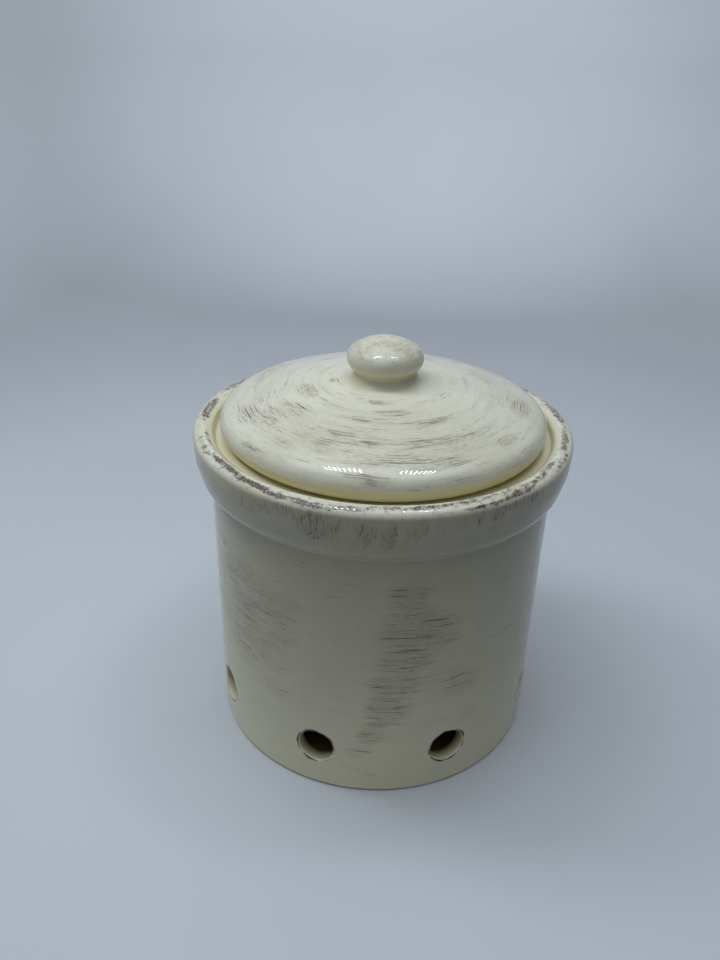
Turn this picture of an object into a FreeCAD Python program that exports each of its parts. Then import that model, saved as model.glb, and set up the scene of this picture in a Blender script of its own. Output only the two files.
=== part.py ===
import FreeCAD, Part
import math
import os

# Garlic keeper in glazed, slip-cast stoneware: a round crock with a ring of air vents just
# above its foot, and a domed lid that drops into a gallery inside the rolled rim.
# Units are millimetres and +Z is up. The origin is on the pot's axis, in the plane that the
# foot ring stands on. The vents lie evenly to both sides of the -Y and +Y directions.
#
# Three pieces are formed separately in clay and written one to a file:
#   crock  wall, floor, foot ring, rim band and gallery, cast in one with the vents cut through
#   lid    dome, rolled edge, seat and locating flange, hollow underneath
#   knob   solid flattened ball on a short neck, luted face to face onto the middle of the lid

# ---- crock: foot and wall ------------------------------------------------------------------
FOOT_RADIUS = 62.3            # wall's outer radius at the foot
BODY_TOP_RADIUS = 62.7        # wall's outer radius under the rim band, after a slight draft
FOOT_BEVEL = 1.2              # wiped corner of the foot ring
FOOT_RING_INNER = 54.0        # inner radius of the ring's standing face
FOOT_RECESS_RADIUS = 52.4
FOOT_RECESS_DEPTH = 2.0
WALL = 4.8
FLOOR_TOP = 7.0
FLOOR_CORNER_ROUND = 4.0

# ---- crock: rim band, rolled rim and gallery -----------------------------------------------
BAND_BOTTOM = 101.1           # where the band leaves the wall
BAND_ROOT_ROUND = 1.0
BAND_SHOULDER = (66.1, 104.0)  # radius and height of the corner under the band
BAND_SHOULDER_ROUND = 4.0
BAND_MIDDLE = (68.15, 112.5)
BAND_MIDDLE_ROUND = 15.0
BAND_TOP = (68.45, 120.5)     # outer top edge, before it is rounded
BAND_TOP_ROUND = 1.6
CREST = (64.7, 122.1)
CREST_ROUND = 2.2
RIM_INNER = (61.3, 119.9)
RIM_INNER_ROUND = 1.5
GALLERY_RADIUS = 60.9         # foot of the rim's inner face
GALLERY_BEVEL = 0.9           # where that face runs into the ledge
LEDGE_HEIGHT = 117.6          # the lid rests on this plane
LEDGE_BEVEL = 0.8             # wiped edge of the ledge
MOUTH_RADIUS = 51.9
LEDGE_UNDERSIDE = 112.2
LEDGE_ROOT = 106.0            # where the ledge's underside meets the wall

# ---- crock: vents --------------------------------------------------------------------------
VENT_COUNT = 8
VENT_RADIUS = 6.35            # half an inch across, assumed; could be up to 7.0
VENT_HEIGHT = 18.0
VENT_OUTER_BEVEL = 0.9        # edges broken with a damp sponge
VENT_INNER_BEVEL = 0.5

# ---- lid -----------------------------------------------------------------------------------
LID_RADIUS = 58.65
ROLL_RADIUS = 5.25            # half the thickness of the rolled edge
SHOULDER_RADIUS = 28.0        # blends the roll into the crown
CROWN_RADIUS = 160.0
CROWN_TOP = 137.95            # height that the crown would reach on the axis
SEAT_INNER = 50.9             # the flat seat runs inward to the flange
FLANGE_OUTER = 50.7
FLANGE_INNER = 47.2
FLANGE_BOTTOM = 110.4
FLANGE_BEVEL = 1.2            # wiped corners of the flange's lower edge
HOLLOW_RADIUS = 154.0         # spherical underside of the crown
HOLLOW_TOP = 132.7            # its height on the axis
HOLLOW_CORNER_ROUND = 6.0     # where it turns down into the flange

# ---- knob ----------------------------------------------------------------------------------
NECK_RADIUS = 11.45
NECK_SWEEP = 2.5              # radius of the sweep from the crown up to the neck
KNOB_RADIUS = 13.6
KNOB_EQUATOR = 145.8          # height of the ball's widest circle
KNOB_SIDE_ROUND = 4.3         # radius of the ball's outline around its widest circle
KNOB_TOP = 152.4

AXIS_POINT = FreeCAD.Vector(0, 0, 0)
AXIS = FreeCAD.Vector(0, 0, 1)


# ---- profiles ------------------------------------------------------------------------------
def point(spot):
    """The 3-D point of a (radius, height) pair, in the half-plane that profiles are drawn in."""
    return FreeCAD.Vector(spot[0], 0, spot[1])


def line(start, end):
    return Part.LineSegment(point(start), point(end)).toShape()


def arc_about(centre, start, end):
    """Arc of less than half a turn, about this centre."""
    first = point(start) - point(centre)
    last = point(end) - point(centre)
    middle = point(centre) + (first + last).normalize() * first.Length
    return Part.Arc(point(start), middle, point(end)).toShape()


def beyond(centre, spot, distance):
    """Spot on the ray from a centre through another spot, at this distance from the centre."""
    ray = point(spot) - point(centre)
    end = point(centre) + ray.normalize() * distance
    return end.x, end.z


def rounded_path(corners):
    """Edges of a path of straight runs. Each corner is (spot, rounding radius)."""
    edges = []
    pen = corners[0][0]
    for before, (corner, radius), after in zip(corners, corners[1:], corners[2:]):
        if radius:
            back = (point(before[0]) - point(corner)).normalize()
            ahead = (point(after[0]) - point(corner)).normalize()
            half = back.getAngle(ahead) / 2
            centre = point(corner) + (back + ahead).normalize() * (radius / math.sin(half))
            start = point(corner) + back * (radius / math.tan(half))
            end = point(corner) + ahead * (radius / math.tan(half))
            edges.append(line(pen, (start.x, start.z)))
            edges.append(arc_about((centre.x, centre.z), (start.x, start.z), (end.x, end.z)))
            pen = (end.x, end.z)
        else:
            edges.append(line(pen, corner))
            pen = corner
    edges.append(line(pen, corners[-1][0]))
    return edges


def turned(edges):
    """Solid of revolution of a profile whose two ends lie on the pot's axis."""
    profile = Part.Wire(Part.__sortEdges__(edges))
    first, last = profile.OrderedVertexes[0].Point, profile.OrderedVertexes[-1].Point
    closing = Part.LineSegment(last, first).toShape()
    face = Part.Face(Part.Wire(profile.Edges + [closing]))
    return face.revolve(AXIS_POINT, AXIS, 360)


# ---- crock ---------------------------------------------------------------------------------
def crock_blank():
    """The cast pot, before its vents are cut."""
    inner_foot = FOOT_RADIUS - WALL
    inner_top = BODY_TOP_RADIUS - WALL
    return turned(rounded_path([
        ((0, FOOT_RECESS_DEPTH), 0),
        ((FOOT_RECESS_RADIUS, FOOT_RECESS_DEPTH), 0),
        ((FOOT_RING_INNER, 0), 0),
        ((FOOT_RADIUS - FOOT_BEVEL, 0), 0),
        ((FOOT_RADIUS, FOOT_BEVEL), 0),
        ((BODY_TOP_RADIUS, BAND_BOTTOM), BAND_ROOT_ROUND),
        (BAND_SHOULDER, BAND_SHOULDER_ROUND),
        (BAND_MIDDLE, BAND_MIDDLE_ROUND),
        (BAND_TOP, BAND_TOP_ROUND),
        (CREST, CREST_ROUND),
        (RIM_INNER, RIM_INNER_ROUND),
        ((GALLERY_RADIUS, LEDGE_HEIGHT + GALLERY_BEVEL), 0),
        ((GALLERY_RADIUS - GALLERY_BEVEL, LEDGE_HEIGHT), 0),
        ((MOUTH_RADIUS + LEDGE_BEVEL, LEDGE_HEIGHT), 0),
        ((MOUTH_RADIUS, LEDGE_HEIGHT - LEDGE_BEVEL), 0),
        ((MOUTH_RADIUS, LEDGE_UNDERSIDE), 0),
        ((inner_top, LEDGE_ROOT), 0),
        ((inner_foot, FLOOR_TOP), FLOOR_CORNER_ROUND),
        ((0, FLOOR_TOP), 0),
    ]))


def vent_cutters():
    """Round cutters pushed in along radii. None of them points straight at -Y or +Y."""
    step = 360.0 / VENT_COUNT
    length = 3 * WALL
    start = FOOT_RADIUS - 2 * WALL
    cutters = []
    for number in range(VENT_COUNT):
        turn = math.radians(-90 + step * (number + 0.5))
        outward = FreeCAD.Vector(math.cos(turn), math.sin(turn), 0)
        base = outward * start + FreeCAD.Vector(0, 0, VENT_HEIGHT)
        cutters.append(Part.makeCylinder(VENT_RADIUS, length, base, outward))
    return cutters


def vent_edges(pot, radius):
    """The closed edges that the vents make in the wall's face of about this radius."""
    found = []
    for edge in pot.Edges:
        centre = edge.CenterOfMass
        at_vent = abs(centre.z - VENT_HEIGHT) < 1
        if at_vent and edge.isClosed() and abs(math.hypot(centre.x, centre.y) - radius) < 1:
            found.append(edge)
    return found


def crock():
    pot = crock_blank().cut(vent_cutters())
    pot = pot.makeChamfer(VENT_OUTER_BEVEL, vent_edges(pot, FOOT_RADIUS))
    return pot.makeChamfer(VENT_INNER_BEVEL, vent_edges(pot, FOOT_RADIUS - WALL))


# ---- lid and knob --------------------------------------------------------------------------
def wall_fillet(dome_centre, dome_radius, wall_radius, fillet):
    """Arc between an upright round wall and a dome: its centre, and its ends on wall and dome.

    A positive fillet sweeps outward from a neck that stands on the dome. A negative one rounds
    the inside corner of a wall that the dome covers.
    """
    centre_radius = wall_radius + fillet
    rise = math.sqrt((dome_radius + fillet) ** 2 - centre_radius ** 2)
    centre = (centre_radius, dome_centre[1] + rise)
    on_wall = (wall_radius, centre[1])
    return centre, on_wall, beyond(dome_centre, centre, dome_radius)


def neck_sweep():
    """The sweep from the crown up to the neck. The knob's joint is the plane at its top."""
    return wall_fillet((0, CROWN_TOP - CROWN_RADIUS), CROWN_RADIUS, NECK_RADIUS, NECK_SWEEP)


def shoulder_centre(crown_centre, roll_centre):
    """Centre of the shoulder's arc, which touches the crown and the roll from inside."""
    from_crown = CROWN_RADIUS - SHOULDER_RADIUS
    from_roll = SHOULDER_RADIUS - ROLL_RADIUS
    base = point(roll_centre) - point(crown_centre)
    reach = (from_crown ** 2 - from_roll ** 2 + base.Length ** 2) / (2 * base.Length)
    side = math.sqrt(from_crown ** 2 - reach ** 2)
    along = base.normalize()
    inward = FreeCAD.Vector(-along.z, 0, along.x)
    centre = point(crown_centre) + along * reach + inward * side
    return centre.x, centre.z


def lid():
    crown_centre = (0, CROWN_TOP - CROWN_RADIUS)
    sweep_centre, neck_top, neck_foot = neck_sweep()

    roll_centre = (LID_RADIUS - ROLL_RADIUS, LEDGE_HEIGHT + ROLL_RADIUS)
    roll_bottom = (roll_centre[0], LEDGE_HEIGHT)
    shoulder = shoulder_centre(crown_centre, roll_centre)
    crown_edge = beyond(crown_centre, shoulder, CROWN_RADIUS)
    roll_top = beyond(shoulder, roll_centre, SHOULDER_RADIUS)

    hollow_centre = (0, HOLLOW_TOP - HOLLOW_RADIUS)
    corner_centre, flange_top, hollow_edge = wall_fillet(
        hollow_centre, HOLLOW_RADIUS, FLANGE_INNER, -HOLLOW_CORNER_ROUND)

    return turned([
        line((0, neck_top[1]), neck_top),
        arc_about(sweep_centre, neck_top, neck_foot),
        arc_about(crown_centre, neck_foot, crown_edge),
        arc_about(shoulder, crown_edge, roll_top),
        arc_about(roll_centre, roll_top, roll_bottom),
        line(roll_bottom, (SEAT_INNER, LEDGE_HEIGHT)),
        line((SEAT_INNER, LEDGE_HEIGHT), (FLANGE_OUTER, FLANGE_BOTTOM + FLANGE_BEVEL)),
        line((FLANGE_OUTER, FLANGE_BOTTOM + FLANGE_BEVEL),
             (FLANGE_OUTER - FLANGE_BEVEL, FLANGE_BOTTOM)),
        line((FLANGE_OUTER - FLANGE_BEVEL, FLANGE_BOTTOM),
             (FLANGE_INNER + FLANGE_BEVEL, FLANGE_BOTTOM)),
        line((FLANGE_INNER + FLANGE_BEVEL, FLANGE_BOTTOM),
             (FLANGE_INNER, FLANGE_BOTTOM + FLANGE_BEVEL)),
        line((FLANGE_INNER, FLANGE_BOTTOM + FLANGE_BEVEL), flange_top),
        arc_about(corner_centre, flange_top, hollow_edge),
        arc_about(hollow_centre, hollow_edge, (0, HOLLOW_TOP)),
    ])


def knob():
    neck_base = neck_sweep()[1]
    side_centre = (KNOB_RADIUS - KNOB_SIDE_ROUND, KNOB_EQUATOR)
    overhang = NECK_RADIUS - side_centre[0]
    crease = (NECK_RADIUS, KNOB_EQUATOR - math.sqrt(KNOB_SIDE_ROUND ** 2 - overhang ** 2))

    # The top's radius is the one that touches both the side's arc and the knob's full height.
    rise = KNOB_TOP - KNOB_EQUATOR
    top_radius = ((side_centre[0] ** 2 + rise ** 2 - KNOB_SIDE_ROUND ** 2)
                  / (2 * (rise - KNOB_SIDE_ROUND)))
    top_centre = (0, KNOB_TOP - top_radius)
    top_edge = beyond(top_centre, side_centre, top_radius)

    return turned([
        line((0, neck_base[1]), neck_base),
        line(neck_base, crease),
        arc_about(side_centre, crease, top_edge),
        arc_about(top_centre, top_edge, (0, KNOB_TOP)),
    ])


if __name__ == "__main__":
    os.makedirs("parts", exist_ok=True)
    for name, piece in (("crock", crock()), ("lid", lid()), ("knob", knob())):
        piece.exportStep("parts/" + name + ".step")
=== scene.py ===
import math
from typing import NamedTuple

import bmesh
import bpy
from bpy.props import FloatProperty, PointerProperty, StringProperty
from mathutils import Matrix, Vector


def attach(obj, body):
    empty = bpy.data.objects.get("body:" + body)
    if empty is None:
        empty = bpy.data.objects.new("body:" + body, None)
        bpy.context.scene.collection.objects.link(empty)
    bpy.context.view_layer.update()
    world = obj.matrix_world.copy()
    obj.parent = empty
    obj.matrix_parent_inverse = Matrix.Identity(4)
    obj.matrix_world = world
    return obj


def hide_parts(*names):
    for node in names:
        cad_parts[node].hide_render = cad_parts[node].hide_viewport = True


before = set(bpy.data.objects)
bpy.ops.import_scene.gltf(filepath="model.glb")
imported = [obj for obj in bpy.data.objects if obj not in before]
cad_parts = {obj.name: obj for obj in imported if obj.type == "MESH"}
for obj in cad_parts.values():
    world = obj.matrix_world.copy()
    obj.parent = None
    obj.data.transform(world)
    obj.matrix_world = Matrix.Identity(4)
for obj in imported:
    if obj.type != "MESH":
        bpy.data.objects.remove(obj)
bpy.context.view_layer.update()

bl_info = {
    "name": "Garlic Keeper",
    "version": (1, 0, 0),
    "blender": (4, 5, 0),
    "location": "View3D > Sidebar > Garlic Keeper",
    "description": "Builds a vented stoneware garlic keeper with an antiqued cream glaze",
    "category": "Add Mesh",
}

# The crock, lid and knob are turned from their outlines, vents are opened in the crock's wall,
# and a clear glaze lies over cream slip and dry-brushed umber. Outlines and brush marks are in
# millimetres and degrees: azimuth 0 is the front, -Y, and grows toward +X. Blender's own
# objects are in metres.
MM = 0.001
TURNED_STEPS = 288            # faces round a piece: 36 columns from one vent to the next
CELL = 1.4                    # longest face along an outline, where it shows
ARC_CELL = math.radians(9)    # most that an outline turns from one face to the next
MERGE = 0.002 * MM            # vertices nearer than this become one
SLACK = 0.001                 # for rounding, in a count of faces or in a comparison

LEDGE = 117.6                 # the lid rests on this plane of the crock
NECK_RADIUS = 11.45           # of the knob where it stands on the lid


# ---- what a user would change --------------------------------------------------------------
def size(name, description, millimetres):
    """A length property with its default in millimetres."""
    return FloatProperty(name=name, description=description, default=millimetres * MM,
                         unit="LENGTH", precision=5)


def colour(name, description, hex_value):
    """A colour property that holds an sRGB hex value."""
    return StringProperty(name=name, description=description, default=hex_value)


class CrockSizes(bpy.types.PropertyGroup):
    """Main sizes of the crock."""
    foot_radius: size("Foot radius", "Wall's outer radius at the foot", 62.3)
    top_radius: size("Top radius", "Wall's outer radius under the rim band", 62.7)
    wall: size("Wall", "Thickness of the wall", 4.8)
    floor_top: size("Floor", "Height of the floor inside", 7.0)
    vent_radius: size("Vent radius", "Radius of each air vent", 6.6)
    vent_height: size("Vent height", "Height of the vents' centres", 18.0)
    vent_lip: size("Vent lip", "Rounding of a vent's sponged outer edge", 0.6)


class LidSizes(bpy.types.PropertyGroup):
    """Main sizes of the lid and its knob."""
    radius: size("Lid radius", "Outer radius of the lid's rolled edge", 58.65)
    roll: size("Roll", "Rounding of the lid's edge, half its thickness", 5.25)
    crown: size("Crown", "Radius of the lid's domed top", 160.0)
    crown_top: size("Crown height", "Height that the crown would reach on the axis", 137.95)
    knob_radius: size("Knob radius", "Widest radius of the knob", 13.6)
    knob_top: size("Knob height", "Height of the knob's top above the table", 152.4)


class GlazeColours(bpy.types.PropertyGroup):
    """Colours of the glaze and of the brushwork under it, as sRGB hex values."""
    cream: colour("Cream", "Body of the glaze", "E9E4CC")
    pooled: colour("Pooled cream", "Glaze where it lies thick", "E6DFC2")
    umber: colour("Umber", "Dry-brushed strokes", "56362A")
    plum: colour("Plum", "Stain rubbed into the rim and the vents' lips", "523D35")
    haze: colour("Haze", "Thin film that a dry brush leaves", "8E7860")
    # Straw also stands for painted shade where glaze lies thick in the hollows: the gallery,
    # under the lid's roll and round the knob's neck.
    straw: colour("Straw", "Clear glaze where it ran together", "D8CDA0")
    # The inside colour, darker than the cream, is painted shade that keeps the crock's inside
    # dark through the vents.
    inside_shade: colour("Honey", "Liner glaze poured over the inside", "8A784E")
    bisque: colour("Bisque", "Bare clay under the foot", "D8CDB8")


class StudioSetup(bpy.types.PropertyGroup):
    """Camera, paper and light."""
    camera_reach: size("Camera reach", "From the pot's axis, along the table", 285.1)
    camera_height: size("Camera height", "Above the table", 248.1)
    camera_azimuth: FloatProperty(
        name="Camera azimuth", description="Where the camera stands round the pot",
        default=math.radians(-4.1), subtype="ANGLE")
    camera_yaw: FloatProperty(
        name="Camera yaw", description="Turn of the view toward the right of the pot's axis",
        default=math.radians(-1.56), subtype="ANGLE")
    camera_tilt: FloatProperty(
        name="Camera tilt", description="How far the view looks down",
        default=math.radians(28.1), subtype="ANGLE")
    camera_roll: FloatProperty(
        name="Camera roll", description="Lean of the view",
        default=math.radians(1.53), subtype="ANGLE")
    lens: FloatProperty(
        name="Lens", description="Focal length for a 36 mm long side, in mm", default=32.02)
    paper: colour("Paper", "Floor and backdrop", "D0D1D2")


# ---- small tools ---------------------------------------------------------------------------
def linear(hex_value):
    """An sRGB hex value as a linear colour."""
    parts = [int(hex_value[place:place + 2], 16) / 255 for place in (0, 2, 4)]
    return [*(part / 12.92 if part <= 0.04045 else ((part + 0.055) / 1.055) ** 2.4
              for part in parts), 1.0]


def ease(value, start, full):
    """0 up to start, 1 past full, and an even S between them. full may lie below start."""
    share = min(max((value - start) / (full - start), 0.0), 1.0)
    return share * share * (3 - 2 * share)


def azimuth_of(place):
    """Degrees round the pot from the front, toward +X."""
    return math.degrees(math.atan2(place.x, -place.y))


def reached(centre, distance, radius):
    """The spot above a centre and this far from it, at this radius from the pot's axis."""
    return Vector((radius, centre.y + math.sqrt(distance ** 2 - (radius - centre.x) ** 2)))


# ---- turning a piece from its outline ------------------------------------------------------
class OutlinePen:
    """Draws an outline of (radius, height) spots as edges in the XZ plane.

    The vertices' "along" layer holds their distance along the outline in millimetres.
    """

    def __init__(self, shape, start):
        self.shape = shape
        self.along = shape.verts.layers.float.new("along")
        self.vertex = shape.verts.new((start[0] * MM, 0, start[1] * MM))

    def spot(self):
        """Where the pen is."""
        return Vector((self.vertex.co.x, self.vertex.co.z)) / MM

    def run(self, spot, cells=None):
        """A straight run, cut into cells."""
        start = self.spot()
        step = Vector(spot) - start
        cells = cells or math.ceil(step.length / CELL - SLACK)
        for cell in range(1, cells + 1):
            grown = bmesh.ops.extrude_vert_indiv(self.shape, verts=[self.vertex])["verts"][0]
            place = start + step * (cell / cells)
            grown.co = (place.x * MM, 0, place.y * MM)
            grown[self.along] = self.vertex[self.along] + step.length / cells
            self.vertex = grown

    def sweep(self, centre, facing):
        """An arc about a centre, the short way round to the ray from there to another spot."""
        arm, goal = self.spot() - centre, Vector(facing) - centre
        turn = arm.angle(goal)
        axis = (0, -1 if arm.x * goal.y > arm.y * goal.x else 1, 0)
        steps = max(2, math.ceil(turn / ARC_CELL), math.ceil(turn * arm.length / CELL))
        before, walked = len(self.shape.verts), self.vertex[self.along]
        swept = bmesh.ops.spin(
            self.shape, geom=[self.vertex], cent=(centre.x * MM, 0, centre.y * MM), axis=axis,
            dvec=(0, 0, 0), angle=turn, steps=steps)
        self.shape.verts.ensure_lookup_table()
        for step, vertex in enumerate(self.shape.verts[before:], 1):
            vertex[self.along] = walked + turn * arm.length * step / steps
        self.vertex = swept["geom_last"][0]

    def through(self, corners):
        """Straight runs with rounded corners. A corner is (radius, height, rounding, cells)."""
        spots = [self.spot(), *(Vector(corner[:2]) for corner in corners)]
        for before, here, after, corner in zip(spots, spots[1:], spots[2:], corners):
            rounding, cells = (*corner[2:], None, None)[:2]
            if rounding:
                back, ahead = (before - here).normalized(), (after - here).normalized()
                half = back.angle(ahead) / 2
                centre = here + (back + ahead).normalized() * (rounding / math.sin(half))
                self.run(here + back * (rounding / math.tan(half)), cells)
                self.sweep(centre, here + ahead * (rounding / math.tan(half)))
            else:
                self.run(here, cells)
        self.run(spots[-1], (*corners[-1][2:], None, None)[1])


def turn_shape(shape, steps=TURNED_STEPS):
    """Spins an outline round the pot's axis. One that starts and ends there closes up."""
    bmesh.ops.remove_doubles(shape, verts=shape.verts, dist=MERGE)
    bmesh.ops.spin(
        shape, geom=shape.verts[:] + shape.edges[:], cent=(0, 0, 0), axis=(0, 0, 1),
        dvec=(0, 0, 0), angle=math.tau, steps=steps, use_merge=True)
    bmesh.ops.remove_doubles(shape, verts=shape.verts, dist=MERGE)
    bmesh.ops.recalc_face_normals(shape, faces=shape.faces)


def smooth_object(shape, name, materials):
    """Makes a smooth object of a shape."""
    mesh = bpy.data.meshes.new(name)
    for face in shape.faces:
        face.smooth = True
    shape.to_mesh(mesh)
    shape.free()
    for material in materials:
        mesh.materials.append(material)
    made = bpy.data.objects.new(name, mesh)
    bpy.context.scene.collection.objects.link(made)
    return made


def finish_piece(shape, node, body, materials):
    """Makes a piece of a shape and puts it in its CAD node's place."""
    piece = smooth_object(shape, "glazed_" + node, materials)
    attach(piece, body)
    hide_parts(node)


# ---- crock ---------------------------------------------------------------------------------
FOOT_RECESS = 2.0             # height of the crock's underside within its foot ring
BAND_BOTTOM = 101.1           # where the rim band leaves the wall
LEDGE_ROOT = 106.0            # where the ledge's underside meets the wall
GALLERY_INNER = 51.9          # the ledge's inner edge
ON_WALL = 0.05                # a place this near to a face of the wall is on it
FLOOR_CORNER = 3.98           # rounding into the wall, just short of the vents' squares
HIDDEN_CELLS = 20             # faces along the long plain runs inside and underneath

VENT_COUNT = 8
VENT_ROWS = (9.8, 26.2)       # heights of the square of faces that a vent takes out
INNER_VENT_ROWS = (11.0, 25.0)
VENT_SQUARE = 12              # faces along that square's sides
VENT_GIVE = 2.3               # the wall's faces give way out to this many half squares
LIP_STEPS = 6
INNER_LIP = 0.5               # rounding of a vent's inner edge
INNER_LIP_STEPS = 3


class Wall:
    """One face of the crock's slightly drafted wall, as a radius at a height."""

    def __init__(self, low, high):
        self.low, self.high = low, high

    def radius(self, height):
        share = (height - self.low[1]) / (self.high[1] - self.low[1])
        return self.low[0] + (self.high[0] - self.low[0]) * share

    def spot(self, height):
        return self.radius(height), height

    def holds(self, place):
        """True for a place on this face."""
        from_axis = math.hypot(place.x, place.y) / MM
        return abs(from_axis - self.radius(place.z / MM)) < ON_WALL


def outer_wall(sizes):
    return Wall((sizes.foot_radius / MM, 0), (sizes.top_radius / MM, BAND_BOTTOM))


def inner_wall(sizes):
    return Wall(((sizes.foot_radius - sizes.wall) / MM, sizes.floor_top / MM),
                ((sizes.top_radius - sizes.wall) / MM, LEDGE_ROOT))


def crock_shape(sizes):
    """The crock from under its foot, up the wall, over the rim and down to its floor."""
    outside, inside = outer_wall(sizes), inner_wall(sizes)
    floor = sizes.floor_top / MM
    shape = bmesh.new()
    OutlinePen(shape, (0, FOOT_RECESS)).through([
        (52.4, FOOT_RECESS, 0.6, HIDDEN_CELLS),                     # foot ring
        (53.7, 0, 0.6),
        (*outside.spot(0), 1.5),                                    # wall, and rows for vents
        outside.spot(VENT_ROWS[0]),
        (*outside.spot(VENT_ROWS[1]), None, VENT_SQUARE),
        (*outside.spot(BAND_BOTTOM), 1.4),                          # rim band
        (66.1, 104.0, 8.0),
        (68.15, 112.5, 15.0),
        (68.45, 120.5, 2.6),                                        # crest
        (64.3, 122.15, 2.6),
        (61.3, 119.9, 1.5),                                         # gallery and its ledge
        (60.9, LEDGE, 1.0),
        (GALLERY_INNER, LEDGE, 0.9),
        (GALLERY_INNER, 112.2, 1.2),
        (*inside.spot(LEDGE_ROOT), 5.0),                            # inside of the wall
        (*inside.spot(INNER_VENT_ROWS[1]), None, HIDDEN_CELLS),
        (*inside.spot(INNER_VENT_ROWS[0]), None, VENT_SQUARE),
        (*inside.spot(floor), FLOOR_CORNER),                        # floor
        (0, floor, None, HIDDEN_CELLS),
    ])
    turn_shape(shape)
    return shape


class Vent:
    """Where one vent pierces the wall, in millimetres across it and above its centre."""

    def __init__(self, azimuth, height):
        self.outward = Vector((math.sin(azimuth), -math.cos(azimuth), 0))
        self.sideways = Vector((math.cos(azimuth), math.sin(azimuth), 0))
        self.height = height

    def seen(self, place):
        """A place as seen along the vent."""
        return Vector((place.dot(self.sideways) / MM, place.z / MM - self.height))

    def place(self, wall, spot, depth=0.0):
        """Where a seen spot lies on the wall, or this deep behind it."""
        height = self.height + spot.y
        out = math.sqrt(wall.radius(height) ** 2 - spot.x ** 2) - depth
        return (self.outward * out + self.sideways * spot.x + Vector((0, 0, height))) * MM

    def ahead(self, place):
        """True for a place on the vent's side of the pot."""
        return place.dot(self.outward) > 0


def open_wall(shape, face_vertices, vent, wall, rows, radius):
    """Takes a square of faces out of a wall and eases the faces round it into a circle."""
    square = Vector((wall.radius(vent.height) * math.sin(math.pi / TURNED_STEPS * VENT_SQUARE),
                     (rows[1] - rows[0]) / 2))

    def share(place):
        seen = vent.seen(place)
        return Vector((seen.x / square.x, seen.y / square.y))

    near = [vertex for vertex in face_vertices
            if vertex.is_valid and vent.ahead(vertex.co)
            and max(map(abs, share(vertex.co))) < VENT_GIVE]
    faces = {face for vertex in near for face in vertex.link_faces}
    taken = [face for face in faces if max(map(abs, share(face.calc_center_median()))) < 1]
    gone = {vertex for vertex in near if max(map(abs, share(vertex.co))) < 1 - SLACK}
    bmesh.ops.delete(shape, geom=taken, context="FACES")
    opening = set()
    for vertex in near:
        if vertex in gone:
            continue
        here = share(vertex.co)
        ring = max(map(abs, here))
        circle = here.normalized() * radius * ring
        if ring < 1 + SLACK:
            opening.add(vertex)
        kept = ease(ring, 1, VENT_GIVE)
        vertex.co = vent.place(wall, circle.lerp(vent.seen(vertex.co), kept))
    return list({edge for vertex in opening for edge in vertex.link_edges if edge.is_boundary})


def roll_lip(shape, vent, wall, edges, bore, rounding, inward, steps):
    """Rolls an opening's edge over into the bore, ring by ring, and returns the last ring.

    inward is 1 from the wall's outer face, whose lip is stained, and -1 from its inner one.
    """
    lip = shape.verts.layers.float["lip"]
    for step in range(1, steps + 1):
        turn = math.pi / 2 * step / steps
        grown = bmesh.ops.extrude_edge_only(shape, edges=edges)["geom"]
        edges = [item for item in grown if isinstance(item, bmesh.types.BMEdge)]
        ring = bore + rounding * (1 - math.sin(turn))
        depth = inward * rounding * (1 - math.cos(turn))
        for vertex in grown:
            if isinstance(vertex, bmesh.types.BMVert):
                vertex.co = vent.place(wall, vent.seen(vertex.co).normalized() * ring, depth)
                vertex[lip] = max(inward, 0) * math.cos(turn) ** 2
    return edges


def cut_vents(shape, sizes):
    """Opens the ring of vents through both faces of the wall and joins them with bores."""
    stain = shape.verts.layers.float.new("lip")
    outside, inside = outer_wall(sizes), inner_wall(sizes)
    bore, lip = sizes.vent_radius / MM, sizes.vent_lip / MM
    outer_face = [vertex for vertex in shape.verts if outside.holds(vertex.co)]
    inner_face = [vertex for vertex in shape.verts if inside.holds(vertex.co)]
    for number in range(VENT_COUNT):
        vent = Vent(math.tau * (number + 0.5) / VENT_COUNT, sizes.vent_height / MM)
        front = open_wall(shape, outer_face, vent, outside, VENT_ROWS, bore + lip)
        for edge in front:
            for vertex in edge.verts:
                vertex[stain] = 1
        front = roll_lip(shape, vent, outside, front, bore, lip, 1, LIP_STEPS)
        back = open_wall(shape, inner_face, vent, inside, INNER_VENT_ROWS, bore + INNER_LIP)
        back = roll_lip(shape, vent, inside, back, bore, INNER_LIP, -1, INNER_LIP_STEPS)
        bmesh.ops.bridge_loops(shape, edges=front + back)
    bmesh.ops.recalc_face_normals(shape, faces=shape.faces)


# ---- lid and knob --------------------------------------------------------------------------
NECK_SWEEP = 2.5              # sweep from the crown up to the neck
SHOULDER_RADIUS = 28.0        # blends the lid's rolled edge into its crown
HOLLOW_RADIUS = 154.0         # of the lid's domed underside
HOLLOW_TOP = 132.7            # its height on the axis
HOLLOW_CORNER = 6.0           # its rounding into the flange
FLANGE_INNER = 47.2
FLANGE_OUTER = 50.7
FLANGE_BOTTOM = 110.4
FLANGE_EDGE = 1.2             # rounding of its lower corners
FLANGE_ROOT = 0.6             # rounding where it leaves the lid
FLANGE_DRAFT = 0.2            # wider there by this much
KNOB_SIDE = 4.6               # radius of the knob's outline at its widest
KNOB_EQUATOR = 145.1          # height of its widest point
CREASE = 0.6                  # glaze pooled where the knob's ball meets its neck


def crown_centre(sizes):
    return Vector((0, (sizes.crown_top - sizes.crown) / MM))


def neck_sweep_centre(sizes):
    return reached(crown_centre(sizes), sizes.crown / MM + NECK_SWEEP, NECK_RADIUS + NECK_SWEEP)


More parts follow.
